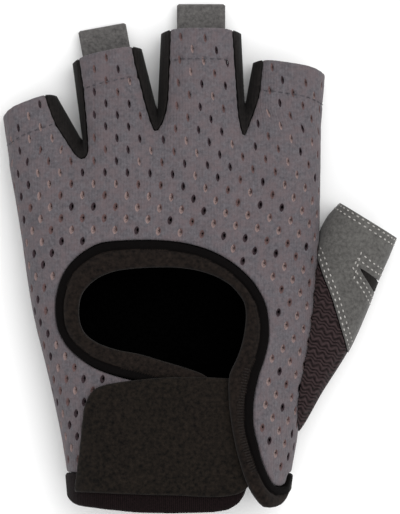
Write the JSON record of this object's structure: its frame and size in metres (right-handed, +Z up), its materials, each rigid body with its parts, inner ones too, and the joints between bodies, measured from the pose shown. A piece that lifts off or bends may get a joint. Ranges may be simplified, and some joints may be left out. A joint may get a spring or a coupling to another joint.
{
  "type": "weightlifting glove",
  "caption": "Fingerless padded training glove with perforated back, suede palm and thumb, open wrist back with taped edge, strap closure and finger pull tabs.",
  "frame": {"origin": "on the flat of the palm that the glove rests on, under the middle of the glove", "axes": "+Y from the wrist to the fingers, +X to the thumb side, +Z up out of the back of the hand"},
  "size_m": [0.1223, 0.1576, 0.0348],
  "materials": {
    "perforated_knit": "matt grey perforated knit",
    "suede": "matt grey microfibre suede",
    "black_stretch": "matt black stretch knit",
    "black_tape": "soft black brushed tape",
    "strap_loop": "black brushed loop laminate",
    "ribbed_stretch": "black ribbed stretch",
    "tab_suede": "matt grey suede, bare"
  },
  "bodies": {
    "root": {"back_panel": "perforated_knit", "palm_panel": "suede", "side_strip_little_ring": "black_stretch", "side_strip_ring_middle": "black_stretch", "side_strip_middle_index": "black_stretch", "opening_tape": "black_tape", "wrist_band": "black_tape", "closure_strap": "strap_loop", "thumb_sleeve": "suede", "thumb_gusset": "ribbed_stretch", "thumb_vent": "black_stretch", "pull_tab_ring": "tab_suede", "pull_tab_middle": "tab_suede"}
  },
  "joints": []
}
